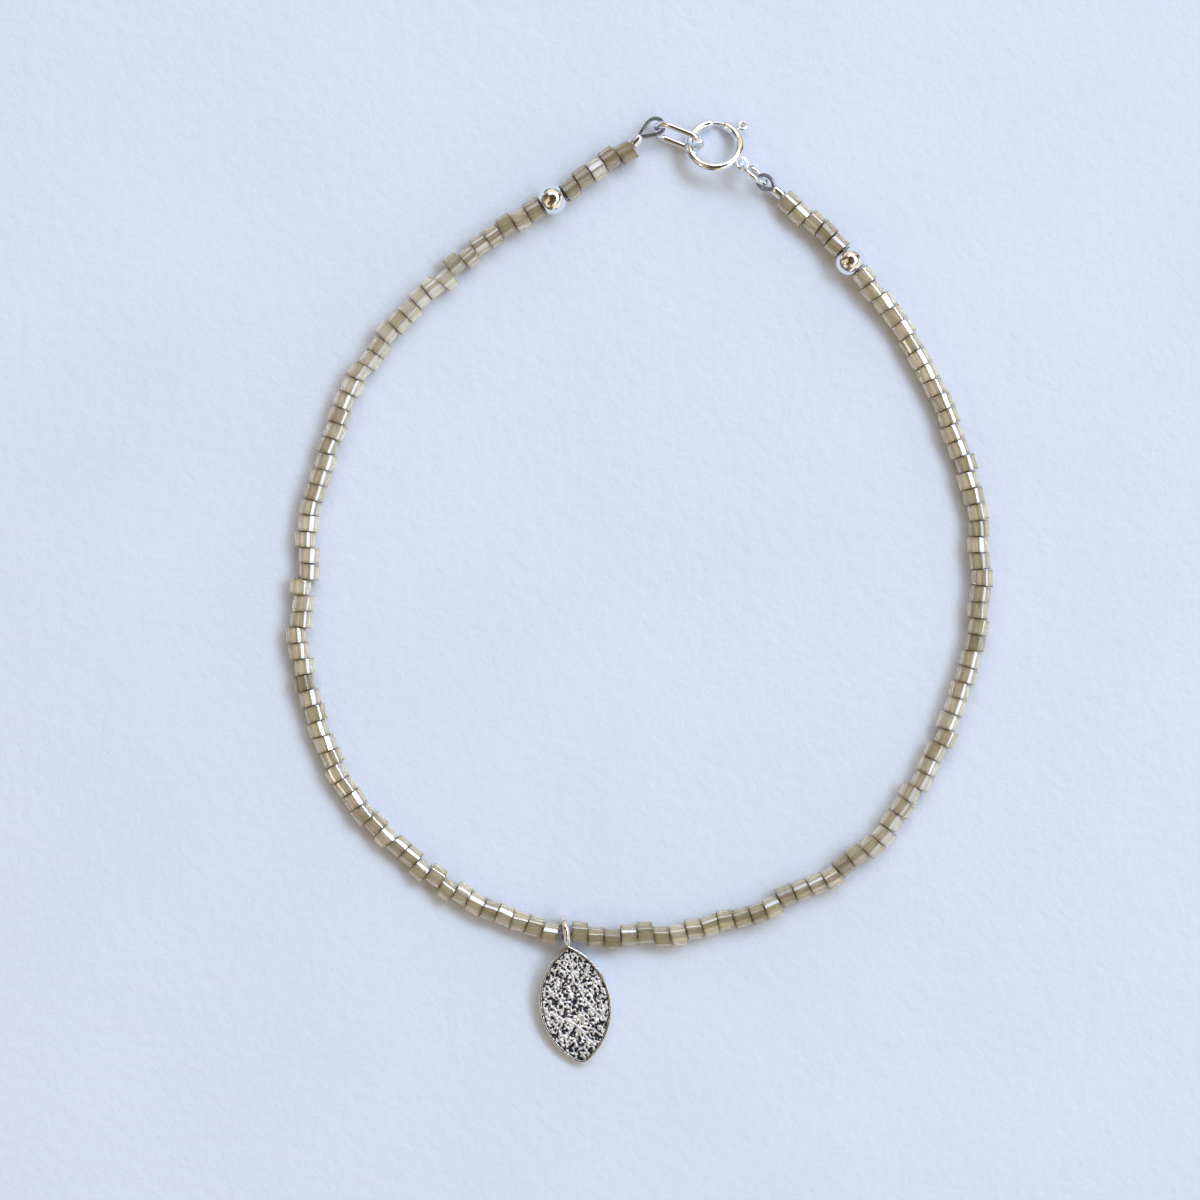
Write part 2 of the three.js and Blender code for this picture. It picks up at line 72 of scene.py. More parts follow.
CLASP = {"centre": (6.13, 36.96, 1.26), "tilt": -23.0}
CLASP_TUBE = {"radius": 2.08, "wire": 0.41, "start": 96.4, "end": 427.0}
CLASP_BORE = {"wire": 0.26, "end": -60.0, "blind_end": 107.0}
CLASP_SLOT = {"width": 0.34, "start": -5.0, "end": 43.0}
CLASP_EYE = {"angle": -35.0, "droop": 22.0, "reach": 0.72, "ring": 0.5, "wire": 0.13}
CLASP_BOLT = {"wire": 0.17, "tail": 27.0, "tip": 100.4}
TRIGGER = {"angle": 38.5, "radius": 2.98, "ring": 0.33, "wire": 0.15, "stem": 0.12}
END_RING = {
    "length": 4.5, "width": 2.8, "wire": 0.3,
    "x": 3.12, "y": 37.67, "heading": -21.8, "steepness": 66.0,
}
JUMP_RING = {"diameter": 2.92, "wire": 0.22, "heading": 139.0, "steepness": 72.0, "eye_angle": 9.0}
LEAF = {
    "half_length": 5.05, "half_width": 2.98, "thickness": 0.75, "tip_radius": 0.85,
    "rim_width": 0.2, "rim_height": 0.14, "heading": 7.6,
}
LEAF_SURFACE = {"rounding": 0.07, "relief": 0.19, "pit_depth": 0.05, "back_ease": 0.06}
BAIL = {"diameter": 2.7, "wire": 0.29, "x": -6.27, "y": -28.15, "roll": 5.0, "overlap": 0.14}

# Centre of the bracelet's outline in the coordinates used for the places here.
OUTLINE_CENTRE = Vector((-0.11, 0.06, 0))

# The cable's route through the beads, seen from above, from the left crimp to the right one.
ROUTE = [
    (-0.8, 36.9), (-4.2, 34.6), (-7.3, 32.5), (-12.8, 29.1), (-16.7, 25.7), (-20.4, 22.0),
    (-23.6, 17.6), (-25.8, 12.2), (-27.5, 6.6), (-27.8, 1.7), (-28.4, -4.1), (-27.0, -10.7),
    (-24.6, -16.1), (-20.4, -21.1), (-15.9, -24.7), (-10.9, -27.3), (-6.4, -28.4),
    (-1.3, -28.7), (5.3, -28.0), (12.0, -25.6), (17.3, -22.6), (21.9, -17.8), (25.2, -12.0),
    (27.3, -5.7), (28.2, 0.9), (27.6, 7.6), (25.5, 14.2), (22.7, 20.0), (19.2, 25.1),
    (15.7, 29.1), (11.8, 32.65),
]

ROUTE_STEPS = 3000

# What is strung on the cable besides glass beads: where, how much cable it takes up, and how
# far it lifts the cable.
SILVER_LIFT = SILVER_BEAD["radius"] - BEAD["radius"]
LANDMARKS = [
    {"name": "silver_bead_left", "at": 7.93, "takes": SILVER_BEAD["length"], "lift": SILVER_LIFT},
    {"name": "leaf_charm", "at": 88.0, "takes": 1.1, "lift": 0.1},
    {"name": "silver_bead_right", "at": 168.85, "takes": SILVER_BEAD["length"], "lift": SILVER_LIFT},
]
LIFT_SPREAD = 4.5

# Glass beads between one landmark and the next, and the runs that they are split over.
STRETCHES = [(5, 1), (59, 5), (58, 5), (5, 1)]

# Beads out of line on the cable: number from the left crimp, and shift towards the inside.
STRAY_BEADS = {
    7: 0.12, 10: -0.08, 11: 0.18, 12: -0.22, 13: 0.32, 14: -0.12, 15: -0.1, 16: 0.12, 17: 0.06,
    18: -0.24, 19: 0.06, 20: 0.16, 21: -0.12, 33: 0.2, 34: 0.22, 35: -0.24, 36: 0.2, 54: 0.2,
    56: 0.24, 58: 0.24, 61: 0.2, 65: 0.24, 69: 0.26, 76: -0.22, 78: 0.24, 83: 0.24, 85: -0.22,
    88: 0.24,
}
# The share of the other beads' random sideways step that a stray bead takes too.
STRAY_SHARE = 0.25

# Beads of the two flanks, where each bead shows the window a flat at about this tilt in degrees.
LEFT_FLANK = {"first": 9, "last": 59, "tilt": 20.5}
RIGHT_FLANK = {"first": 84, "tilt": 13.0}
TILT_SPREAD = 4.0

# How pale the glass is from one bead on, from 0 (olive) to 1 (nearly clear).
SHADES = [
    (1, 0.0), (6, 0.45), (13, 0.95), (24, 0.72), (41, 0.5), (62, 0.28), (84, 0.66), (98, 0.42),
    (114, 0.66), (123, 0.27),
]

CRIMPS = {
    "left": ((-0.76, 36.95, 0.88), (-0.01, 37.75, 0.88)),
    "right": ((11.83, 32.74, 0.88), (10.98, 33.45, 0.88)),
}
LOOPS = {
    "left": [
        (0.18, 38.3, 0.94), (0.52, 38.82, 1.0), (0.95, 39.15, 1.08), (1.42, 39.15, 1.18),
        (1.78, 38.88, 1.3), (1.9, 38.5, 1.42), (1.78, 38.12, 1.5), (1.4, 37.88, 1.48),
        (0.95, 37.8, 1.35), (0.5, 37.74, 1.1),
    ],
    "right": [
        (10.5, 33.36, 0.93), (10.12, 33.4, 1.02), (9.8, 33.66, 1.1), (9.7, 34.06, 1.15),
        (9.9, 34.4, 1.15), (10.26, 34.5, 1.1), (10.63, 34.33, 1.0), (10.93, 33.97, 0.92),
    ],
}

# The leaf's raised veins, in its own plane: from the bail ring's centre, the leaf along -Y.
VEINS = [
    {"width": 0.15, "points": [(-0.3, -1.95), (0.02, -2.46), (0.2, -3.59), (0.55, -4.26),
                               (0.5, -5.0), (0.8, -5.75), (1.17, -6.48), (1.8, -7.3), (2.35, -7.8)]},
    {"width": 0.17, "points": [(-2.85, -6.0), (-2.28, -6.69), (-1.42, -7.09), (-0.62, -7.59),
                               (0.08, -8.16), (0.62, -9.14), (1.2, -9.8)]},
    {"width": 0.12, "points": [(0.2, -7.1), (0.23, -7.7), (0.15, -8.2)]},
    {"width": 0.12, "points": [(-2.14, -9.3), (-1.66, -8.94), (-1.05, -8.68), (-0.62, -8.35)]},
    {"width": 0.13, "points": [(-1.86, -9.73), (-1.26, -10.24), (-0.86, -10.75)]},
    {"width": 0.11, "points": [(0.42, -8.11), (1.1, -8.39), (1.53, -8.79)]},
    {"width": 0.12, "points": [(0.6, -4.7), (1.22, -4.64), (1.95, -4.55), (2.35, -4.9)]},
    {"width": 0.12, "points": [(-0.98, -2.38), (-0.49, -3.02), (-0.07, -3.46), (0.1, -3.9)]},
    {"width": 0.11, "points": [(-2.65, -4.45), (-2.03, -4.83), (-1.39, -4.34), (-0.83, -4.17)]},
]

# The leaf's cast grain. A warp bends two noises, and their sum is cut off between two levels.
# noise.noise gives the warp its three directions, since noise_vector takes its seed from the clock.
WARP_SCALE = 2.1
WARP_REACH = 0.12
WARP_OFFSETS = [Vector((5.2, 1.3, 0.4)), Vector((1.7, 9.2, 4.4)), Vector((8.3, 2.8, 6.1))]
COARSE_GRAIN = {"scale": 4.3, "weight": 0.75, "offset": Vector((3.1, 0, 7.7))}
FINE_GRAIN = {"scale": 7.7, "weight": 0.5, "offset": Vector((11.0, 5.0, 2.3))}
GRAIN_LIFT = 0.08
PIT_LEVEL, RIDGE_LEVEL = -0.34, 0.42

# ---------------------------------------------------------------------------
# Node materials
# ---------------------------------------------------------------------------


def grey(value):
    return (value, value, value)


def fill_ramp(ramp_node, stops):
    """Sets a ramp's colours from (place, colour) pairs."""
    elements = ramp_node.color_ramp.elements
    while len(elements) < len(stops):
        elements.new(0.5)
    for element, (place, colour) in zip(elements, stops):
        element.position = place
        element.color = (*colour, 1.0)


class Shader:
    """A material's nodes, made and linked in short calls."""

    def __init__(self, name):
        self.material = bpy.data.materials.new(name)
        self.material.use_nodes = True
        self.tree = self.material.node_tree
        self.surface = self.tree.nodes["Principled BSDF"]

    def node(self, kind, inputs=None, **settings):
        made = self.tree.nodes.new(kind)
        for key, value in settings.items():
            setattr(made, key, value)
        for key, value in (inputs or {}).items():
            self.put(value, made.inputs[key])
        return made

    def put(self, value, socket):
        if isinstance(value, bpy.types.NodeSocket):
            self.tree.links.new(value, socket)
        else:
            socket.default_value = value

    def set(self, **values):
        for key, value in values.items():
            self.put(value, self.surface.inputs[key.replace("_", " ")])

    def attribute(self, name):
        return self.node("ShaderNodeAttribute", attribute_name=name)

    def noise(self, vector, scale, detail, roughness):
        inputs = {"Vector": vector, "Scale": scale, "Detail": detail, "Roughness": roughness}
        return self.node("ShaderNodeTexNoise", inputs).outputs["Fac"]

    def ramp(self, factor, stops):
        made = self.node("ShaderNodeValToRGB", {"Fac": factor})
        fill_ramp(made, stops)
        return made.outputs["Color"]

    def mix(self, factor, a, b, blend_type="MIX"):
        made = self.node("ShaderNodeMix", data_type="RGBA", blend_type=blend_type)
        self.put(factor, made.inputs["Factor"])
        for value, name in ((a, "A"), (b, "B")):
            socket = next(i for i in made.inputs if i.name == name and i.type == "RGBA")
            self.put(value if isinstance(value, bpy.types.NodeSocket) else (*value, 1.0), socket)
        return next(o for o in made.outputs if o.type == "RGBA")

    def math(self, operation, a, b):
        made = self.node("ShaderNodeMath", operation=operation)
        self.put(a, made.inputs[0])
        self.put(b, made.inputs[1])
        return made.outputs[0]

    def bump(self, height, strength, distance, under=None):
        inputs = {"Height": height, "Strength": strength, "Distance": distance}
        if under:
            inputs["Normal"] = under
        return self.node("ShaderNodeBump", inputs).outputs["Normal"]


def glass_material():
    """Translucent khaki glass with streaks drawn along each bead and painted shade towards each bead's
    ends, under a bright luster.
    """
    s = Shader("khaki_luster_glass")
    place = s.attribute("bead_place").outputs["Vector"]
    seed = s.attribute("bead_seed").outputs["Fac"]
    spread = s.node("ShaderNodeVectorMath", {0: place}, operation="MULTIPLY")
    spread.inputs[1].default_value = (1.0, 1.0, 0.08)
    lifted = s.node("ShaderNodeCombineXYZ", {"Z": s.math("MULTIPLY", seed, 37.0)})
    both = {0: spread.outputs[0], 1: lifted.outputs[0]}
    streak_place = s.node("ShaderNodeVectorMath", both, operation="ADD")
    streaks = s.noise(streak_place.outputs[0], 7.0, 4.0, 0.65)
    tone = s.ramp(streaks, [
        (0.3, (0.46, 0.40, 0.28)), (0.5, (0.60, 0.535, 0.395)), (0.68, (0.75, 0.68, 0.54)),
    ])
    batch = s.ramp(seed, [
        (0.0, (0.62, 0.59, 0.47)), (0.3, (0.88, 0.87, 0.80)), (0.65, (1.05, 1.04, 1.0)),
        (1.0, (1.28, 1.30, 1.34)),
    ])
    end = s.math("ABSOLUTE", s.node("ShaderNodeSeparateXYZ", {0: place}).outputs["Z"], 0.0)
    # Painted shade: the colour darkens over the outer part of each bead towards its ends, standing in
    # for the dark gap between beads and the shade there.
    painted_joint_shade = s.ramp(end, [
        (0.5, grey(1.0)), (0.86, (0.78, 0.73, 0.63)), (0.95, (0.34, 0.3, 0.23)),
    ])
    facing = s.node("ShaderNodeLayerWeight", {"Blend": 0.5}).outputs["Facing"]
    luster = s.ramp(facing, [(0.16, grey(1.0)), (0.34, grey(0.04))])
    away_from_cut = s.ramp(end, [(0.92, grey(1.0)), (0.96, grey(0.1))])
    less_when_olive = s.ramp(seed, [(0.0, grey(0.3)), (0.35, grey(1.0))])
    coat = s.mix(1.0, s.mix(1.0, luster, away_from_cut, "MULTIPLY"), less_when_olive, "MULTIPLY")
    s.set(
        Base_Color=s.mix(1.0, s.mix(1.0, tone, batch, "MULTIPLY"), painted_joint_shade, "MULTIPLY"),
        Roughness=0.28,
        IOR=1.5,
        Transmission_Weight=0.25,
        Subsurface_Weight=1.0,
        Subsurface_Radius=(1.0, 0.85, 0.55),
        Subsurface_Scale=0.0008,
        Specular_IOR_Level=0.05,
        Coat_Weight=coat,
        Coat_Roughness=0.05,
        Coat_IOR=2.8,
        Normal=s.bump(streaks, 0.1, 0.00002),
    )
    return s.material


def silver_material(name, roughness, dents):
    """Polished silver with faint wear over shallow dents."""
    s = Shader(name)
    place = s.node("ShaderNodeTexCoord").outputs["Object"]
    wear = s.noise(place, 1500.0, 4.0, 0.65)
    polish = s.node("ShaderNodeMapRange", {"Value": wear, "From Min": 0.3, "From Max": 0.7,
                                           "To Min": roughness * 0.6, "To Max": roughness * 1.5})
    hollows = s.noise(place, 850.0, 1.0, 0.5)
    s.set(
        Base_Color=(0.90, 0.93, 0.97, 1.0),
        Metallic=1.0,
        Roughness=polish.outputs["Result"],
        Normal=s.bump(wear, 0.12, 0.00002, s.bump(hollows, dents, 0.0003)),
    )
    return s.material


def leaf_material():
    """Silver, bright on its ridges and black with oxide in its hollows."""
    s = Shader("oxidised_silver")
    relief = s.attribute("relief").outputs["Fac"]
    polish = s.attribute("polish").outputs["Fac"]
    place = s.node("ShaderNodeTexCoord").outputs["Object"]
    grain = s.noise(place, 5000.0, 3.0, 0.6)
    level = s.math("ADD", relief, s.math("MULTIPLY", s.math("SUBTRACT", grain, 0.5), 0.3))
    metal = s.ramp(level, [(0.1, grey(0.3)), (0.45, grey(0.7))])
    matt = s.ramp(level, [(0.15, grey(0.6)), (0.6, grey(0.34))])
    s.set(
        Base_Color=s.ramp(level, [
            (0.2, (0.014, 0.017, 0.028)), (0.4, (0.10, 0.10, 0.115)), (0.6, (0.88, 0.85, 0.80)),
        ]),
        Metallic=s.mix(polish, metal, grey(1.0)),
        Roughness=s.mix(polish, matt, grey(0.1)),
        Normal=s.bump(grain, s.math("SUBTRACT", 0.5, s.math("MULTIPLY", polish, 0.4)), 0.00003),
    )
    return s.material


def cable_material():
    """Fine steel wire, twisted and slightly dull."""
    s = Shader("steel_cable")
    place = s.node("ShaderNodeTexCoord").outputs["Object"]
    grain = s.noise(place, 9000.0, 2.0, 0.5)
    s.set(
        Base_Color=s.ramp(grain, [(0.3, (0.16, 0.165, 0.175)), (0.7, (0.42, 0.43, 0.45))]),
        Metallic=1.0,
        Roughness=0.34,
    )
    return s.material


def paper_material():
    """Pale paper with a faint tooth."""
    s = Shader("pale_paper")
    place = s.node("ShaderNodeTexCoord").outputs["Object"]
    tooth = s.noise(place, 900.0, 4.0, 0.6)
    mottle = s.noise(place, 60.0, 3.0, 0.5)
    s.set(
        Base_Color=s.ramp(mottle, [(0.3, (0.765, 0.80, 0.865)), (0.7, (0.79, 0.825, 0.885))]),
        Roughness=0.85,
        Specular_IOR_Level=0.2,
        Normal=s.bump(tooth, 0.8, 0.00012),
    )
    return s.material


# ---------------------------------------------------------------------------
# Meshes
# ---------------------------------------------------------------------------


class Skin:
    """Vertices, faces and per-vertex values of a mesh that is still being put together."""

    def __init__(self):
        self.points = []
        self.faces = []
        self.values = {}

    def add(self, points, faces, **values):
        start = len(self.points)
        self.points.extend(points)
        self.faces.extend([tuple(start + i for i in face) for face in faces])
        for name, column in values.items():
            self.values.setdefault(name, []).extend(column)

    def place(self, matrix):
        self.points = [matrix @ Vector(p) for p in self.points]
        return self


def grid_faces(rows, columns, close_rows=False, close_columns=True):
    """Quads over a grid of points, row after row. Closing joins the last row or column to the first."""
    faces = []
    for i in range(rows if close_rows else rows - 1):
        for j in range(columns if close_columns else columns - 1):
            k, m = (i + 1) % rows, (j + 1) % columns
            faces.append((i * columns + j, i * columns + m, k * columns + m, k * columns + j))
    return faces


def piece(name, skin, material, body, replaced=(), sharp=40.0):
    """A Blender object from a skin in millimetres. It rides on a body and stands for CAD nodes."""
    mesh = bpy.data.meshes.new(name)
    points = [tuple((Vector(p) - OUTLINE_CENTRE) * MM) for p in skin.points]
    mesh.from_pydata(points, [], skin.faces)
    for key, column in skin.values.items():
        kind = "FLOAT" if np.ndim(column) == 1 else "FLOAT_VECTOR"
        field = "value" if kind == "FLOAT" else "vector"
        attribute = mesh.attributes.new(key, kind, "POINT")
        attribute.data.foreach_set(field, np.asarray(column, np.float32).ravel())
    mesh.polygons.foreach_set("use_smooth", [True] * len(mesh.polygons))
    mesh.set_sharp_from_angle(angle=math.radians(sharp))
    mesh.materials.append(material)
    mesh.update()
    obj = bpy.data.objects.new(name, mesh)
    bpy.context.scene.collection.objects.link(obj)
    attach(obj, body)
    if replaced:
        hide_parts(*replaced)
    return obj


def lathe(profile, sides):
    """A closed skin turned about Y from (radius, height) pairs."""
    points = []
    for radius, height in profile:
        for j in range(sides):
            angle = 2 * math.pi * j / sides
            points.append((radius * math.sin(angle), height, radius * math.cos(angle)))
    skin = Skin()
    skin.add(points, grid_faces(len(profile), sides, close_rows=True))
    return skin


def carried_frames(path, closed):
    """For each point of a path, two directions square to it that don't twist along the way."""
    count = len(path)
    tangents = []
    for i in range(count):
        before = path[i - 1] if closed or i > 0 else path[i]
        after = path[(i + 1) % count] if closed or i < count - 1 else path[i]
        tangents.append((after - before).normalized())
    side = tangents[0].cross(UP if abs(tangents[0].z) < 0.9 else Vector((1, 0, 0))).normalized()
    frames = []
    for tangent in tangents:
        side = (side - tangent * side.dot(tangent)).normalized()
        frames.append((side, tangent.cross(side)))
    return frames


def sweep(path, radius, sides, closed=False, normal=None):
    """A skin swept along a path. A flat path's normal keeps its rings from turning."""
    path = [Vector(p) for p in path]
    if normal is None:
        frames = carried_frames(path, closed)
    else:
        frames = []
        for i in range(len(path)):
            before = path[i - 1] if closed or i > 0 else path[i]
            after = path[(i + 1) % len(path)] if closed or i < len(path) - 1 else path[i]
            frames.append((normal, (after - before).normalized().cross(normal)))
    radii = radius if isinstance(radius, list) else [radius] * len(path)
    points = []
    for centre, (a, b), r in zip(path, frames, radii):
        for j in range(sides):
            angle = 2 * math.pi * j / sides
            points.append(centre + (a * math.cos(angle) + b * math.sin(angle)) * r)
    faces = grid_faces(len(path), sides, close_rows=closed)
    if not closed:
        faces.append(tuple(reversed(range(sides))))
        faces.append(tuple(range((len(path) - 1) * sides, len(path) * sides)))
    skin = Skin()
    skin.add(points, faces)
    return skin


def merged(*skins):
    """One skin that holds several."""
    whole = Skin()
    for skin in skins:
        whole.add(skin.points, skin.faces, **skin.values)
    return whole


def arc(radius, start, end, steps):
    """Points of an arc in the XY plane, with angles in degrees."""
    turns = [math.radians(start + (end - start) * i / steps) for i in range(steps + 1)]
    return [Vector((radius * math.cos(t), radius * math.sin(t), 0)) for t in turns]


def smooth_path(points, steps, centripetal=True):
    """Points spread evenly by parameter along a Catmull-Rom curve."""
    points = [Vector(p) for p in points]
    ends = [points[0] * 2 - points[1], *points, points[-1] * 2 - points[-2]]
    spans = len(points) - 1
    made = []
    for k in range(steps + 1):
        place = min(k * spans / steps, spans - 1e-9)
        i = int(place)
        t = place - i
        p0, p1, p2, p3 = ends[i:i + 4]
        if centripetal:
            made.append(centripetal_point(p0, p1, p2, p3, t))
        else:
            a, b = (p2 - p0) / 2, (p3 - p1) / 2
            made.append(
                (2 * p1 - 2 * p2 + a + b) * t ** 3 + (3 * p2 - 3 * p1 - 2 * a - b) * t * t + a * t + p1
            )
    return made


def centripetal_point(p0, p1, p2, p3, t):
    """A point between p1 and p2 on a curve that doesn't swing out where its points lie close."""
    d0, d1, d2 = (max((b - a).length, 1e-6) ** 0.5 for a, b in ((p0, p1), (p1, p2), (p2, p3)))
    a = ((p1 - p0) / d0 - (p2 - p0) / (d0 + d1) + (p2 - p1) / d1) * d1
    b = ((p2 - p1) / d1 - (p3 - p1) / (d1 + d2) + (p3 - p2) / d2) * d1
    return (2 * p1 - 2 * p2 + a + b) * t ** 3 + (3 * p2 - 3 * p1 - 2 * a - b) * t * t + a * t + p1


def standing_turn(heading, steepness):
    """Lays a piece's own X along a heading and raises its own Y from the surface."""
    turn = Matrix.Rotation(math.radians(heading), 4, "Z")
    return turn @ Matrix.Rotation(math.radians(steepness), 4, "X")


# ---------------------------------------------------------------------------
# The strand
# ---------------------------------------------------------------------------


class Strand:
    """The cable's centreline through the beads, measured along its plan."""

    def __init__(self):
        self.plan = smooth_path([(x, y, 0) for x, y in ROUTE], ROUTE_STEPS, centripetal=False)
        steps = [(b - a).length for a, b in zip(self.plan, self.plan[1:])]
        self.distances = np.concatenate([[0.0], np.cumsum(steps)])
        self.length = float(self.distances[-1])
        self.columns = np.array([tuple(p) for p in self.plan])

    def at(self, distance):
        x, y = (np.interp(distance, self.distances, self.columns[:, k]) for k in (0, 1))
        z = BEAD["radius"]
        for mark in LANDMARKS:
            z += mark["lift"] * math.exp(-(((distance - mark["at"]) / LIFT_SPREAD) ** 2))
        return Vector((x, y, z))

    def station(self, distance):
        """Position, and directions along the strand, towards the inside, and up."""
        step = 0.2
        along = (self.at(distance + step) - self.at(distance - step)).normalized()
        inward = Vector((-along.y, along.x, 0)).normalized()
        return self.at(distance), along, inward, along.cross(inward)


strand = Strand()


def joint(rng, distance, loose):
    """A meeting of two beads: its place on the strand, and how far its plane leans."""
    reach = JOINT_SPREAD["shift"]
    shift = rng.uniform(-reach, reach) if loose else 0.0
    return {
        "at": distance + shift,
        "lean": rng.gauss(0, JOINT_SPREAD["lean"]),
        "nod": rng.gauss(0, JOINT_SPREAD["nod"]),
    }


def flats_turn(rng, number, inward, flats):
    """How far a bead is turned on the cable. In the flanks it shows a flat on its +X side."""
    on_left = LEFT_FLANK["first"] <= number <= LEFT_FLANK["last"]
    if not on_left and number < RIGHT_FLANK["first"]:
        return rng.uniform(0, 2 * math.pi)
    flank = LEFT_FLANK if on_left else RIGHT_FLANK
    tilt = math.radians(rng.gauss(flank["tilt"], TILT_SPREAD))
    facing = math.pi / 2 - math.copysign(tilt, inward.x)
    return math.pi / flats - facing


def sideways_shift(rng, number):
    """How far one bead sits towards the inside of the strand's line."""
    step = rng.uniform(-BEAD_SPREAD["sideways"], BEAD_SPREAD["sideways"])
    if number in STRAY_BEADS:
        return STRAY_BEADS[number] + STRAY_SHARE * step
    return step


def glass_bead(rng, number, first, last):
    """One bead between two joints: a drum with soft flats drawn along it and a wide bore."""
    middle = (first["at"] + last["at"]) / 2
    point, along, inward, up = strand.station(middle)
    point = point + inward * sideways_shift(rng, number)
    radius = BEAD["radius"] * rng.uniform(1 - BEAD_SPREAD["radius"], 1 + BEAD_SPREAD["radius"])
    half = (last["at"] - first["at"]) / 2 - BEAD["gap"] / 2
    point = point + up * (radius - BEAD["radius"])
    bore = BEAD["bore"] * rng.uniform(1 - BEAD_SPREAD["bore"], 1 + BEAD_SPREAD["bore"])
    yaw = rng.gauss(0, BEAD_SPREAD["yaw"])
    flats = rng.choice(BEAD_FLATS)
    flatness = rng.uniform(*BEAD_FLATNESS)
    turned = flats_turn(rng, number, inward, flats)
    sides = BEAD["sides"]
    outside = [(radius - inset, half - drop) for drop, inset in BEAD_RIM]
    profile = [(bore + BORE_EASE["inset"], half), *outside]
    profile += [(r, -z) for r, z in reversed(profile)]
    inside = half - BORE_EASE["drop"]
    profile += [(bore, -inside), (bore, inside)]
    points, places = [], []
    for r, z in profile:
        share = max(0.0, (r - bore) / (radius - bore))
        end = (z / half + 1) / 2
        lean = first["lean"] * (1 - end) + last["lean"] * end
        nod = first["nod"] * (1 - end) + last["nod"] * end
        for j in range(sides):
            angle = 2 * math.pi * j / sides
            off_flat = (angle + turned) % (2 * math.pi / flats) - math.pi / flats
            flat = math.cos(math.pi / flats) / math.cos(off_flat)
            reach = r * (1 - share * flatness * (1 - flat))
            x, y = reach * math.cos(angle), reach * math.sin(angle)
            points.append(point + inward * (x + yaw * z) + up * y + along * (z + lean * x + nod * y))
            places.append((x / radius, y / radius, z / half))
    faces = grid_faces(len(profile), sides, close_rows=True)
    return points, faces, places


def glass_shade(rng, number):
    """How pale one bead is, round the shade of its stretch."""
    usual = [shade for first, shade in SHADES if first <= number][-1]
    return max(0.0, min(1.0, rng.gauss(usual, BEAD_SPREAD["shade"])))


def glass_runs(material):
    """All the glass beads, as one piece for each run of the CAD model."""
    rng = random.Random(BEAD_SEED)
    number = 0
    run_number = 0
    for index, (count, runs) in enumerate(STRETCHES):
        before = LANDMARKS[index - 1] if index else None
        after = LANDMARKS[index] if index < len(LANDMARKS) else None
        start = before["at"] + before["takes"] / 2 if before else 0.0
        end = after["at"] - after["takes"] / 2 if after else strand.length
        pitch = (end - start) / count
        per_run = math.ceil(count / runs)
        joints = [joint(rng, start + i * pitch, 0 < i < count) for i in range(count + 1)]
        for run in range(runs):
            run_number += 1
            skin = Skin()
            for i in range(run * per_run, min((run + 1) * per_run, count)):
                number += 1
                points, faces, places = glass_bead(rng, number, joints[i], joints[i + 1])
                shade = glass_shade(rng, number)
                skin.add(points, faces, bead_place=places, bead_seed=[shade] * len(points))
            run_name = f"{run_number:02d}"
            replaced = [f"glass_beads_{run_name}"]
            piece(f"glass_run_{run_name}", skin, material, BRACELET, replaced, sharp=30)


def braided(path, material, name, replaced=(), pitch=1.5):
    """A cable of strands laid round its centre."""
    frames = carried_frames(path, False)
    wire = CABLE["radius"] / 3
    lay = CABLE["radius"] - wire
    travelled = [0.0]
    for a, b in zip(path, path[1:]):
        travelled.append(travelled[-1] + (b - a).length)
    skins = [sweep(path, wire * 1.25, 6)]
    for k in range(CABLE["strands"]):
        turns = [2 * math.pi * (k / CABLE["strands"] + d / pitch) for d in travelled]
        route = [
            p + (a * math.cos(t) + b * math.sin(t)) * lay
            for p, (a, b), t in zip(path, frames, turns)
        ]
        skins.append(sweep(route, wire, 7))
    return piece(name, merged(*skins), material, BRACELET, replaced)


def strung_cable(material):
    """The cable through the beads, from inside one crimp to inside the other."""
    steps = 900
    margin = 0.25
    length = strand.length - 2 * margin
    path = [strand.at(margin + length * i / steps) for i in range(steps + 1)]
    braided(path, material, "strung_cable")


def silver_bead(mark, material):
    """A round bead, flattened along its bore, its holes softly rounded in."""
    radius, bore = SILVER_BEAD["radius"], SILVER_BEAD["bore"]
    half = SILVER_BEAD["length"] / 2 - NEIGHBOUR_GAP
    edge = math.acos(bore / radius)
    rows = 22
    profile = []
    for i in range(rows + 1):
        angle = edge * (2 * i / rows - 1)
        profile.append((radius * math.cos(angle), half * math.sin(angle) / math.sin(edge)))
    profile += [(bore - 0.05, half - 0.1), (bore - 0.05, -half + 0.1)]
    point, along, inward, up = strand.station(mark["at"])
    turn = Matrix((inward, along, -up)).transposed().to_4x4()
    skin = lathe(profile, 56).place(Matrix.Translation(point) @ turn)
    piece(f"{mark['name']}_round", skin, material, BRACELET, [mark["name"]], sharp=60)


# ---------------------------------------------------------------------------
# Crimps and end loops
# ---------------------------------------------------------------------------


def crimp_axis(side):
    """A crimp's two ends, and the directions along and across it."""
    start, end = (Vector(p) for p in CRIMPS[side])
    along = (end - start).normalized()
    return start, end, along, Vector((-along.y, along.x, 0))


def crimp(side, material):
    """A short tube with eased rims."""
    start, end, along, across = crimp_axis(side)
    half = CRIMP["length"] / 2 - NEIGHBOUR_GAP
    outer, inner = CRIMP["radius"], CRIMP["bore"]
    drop, inset = 0.03, 0.02
    rim = [(inner, drop), (inner + inset, 0.0), (outer - inset, 0.0), (outer, drop)]
    profile = [(r, below - half) for r, below in rim]
    profile += [(outer, -half * 0.4), (outer, half * 0.4)]
    profile += [(r, half - below) for r, below in reversed(rim)]
    skin = lathe(profile, 36)
    turn = Matrix((across, along, across.cross(along))).transposed().to_4x4()
    skin.place(Matrix.Translation((start + end) / 2) @ turn)
    piece(f"crimp_{side}_tube", skin, material, BRACELET, [f"crimp_{side}"])


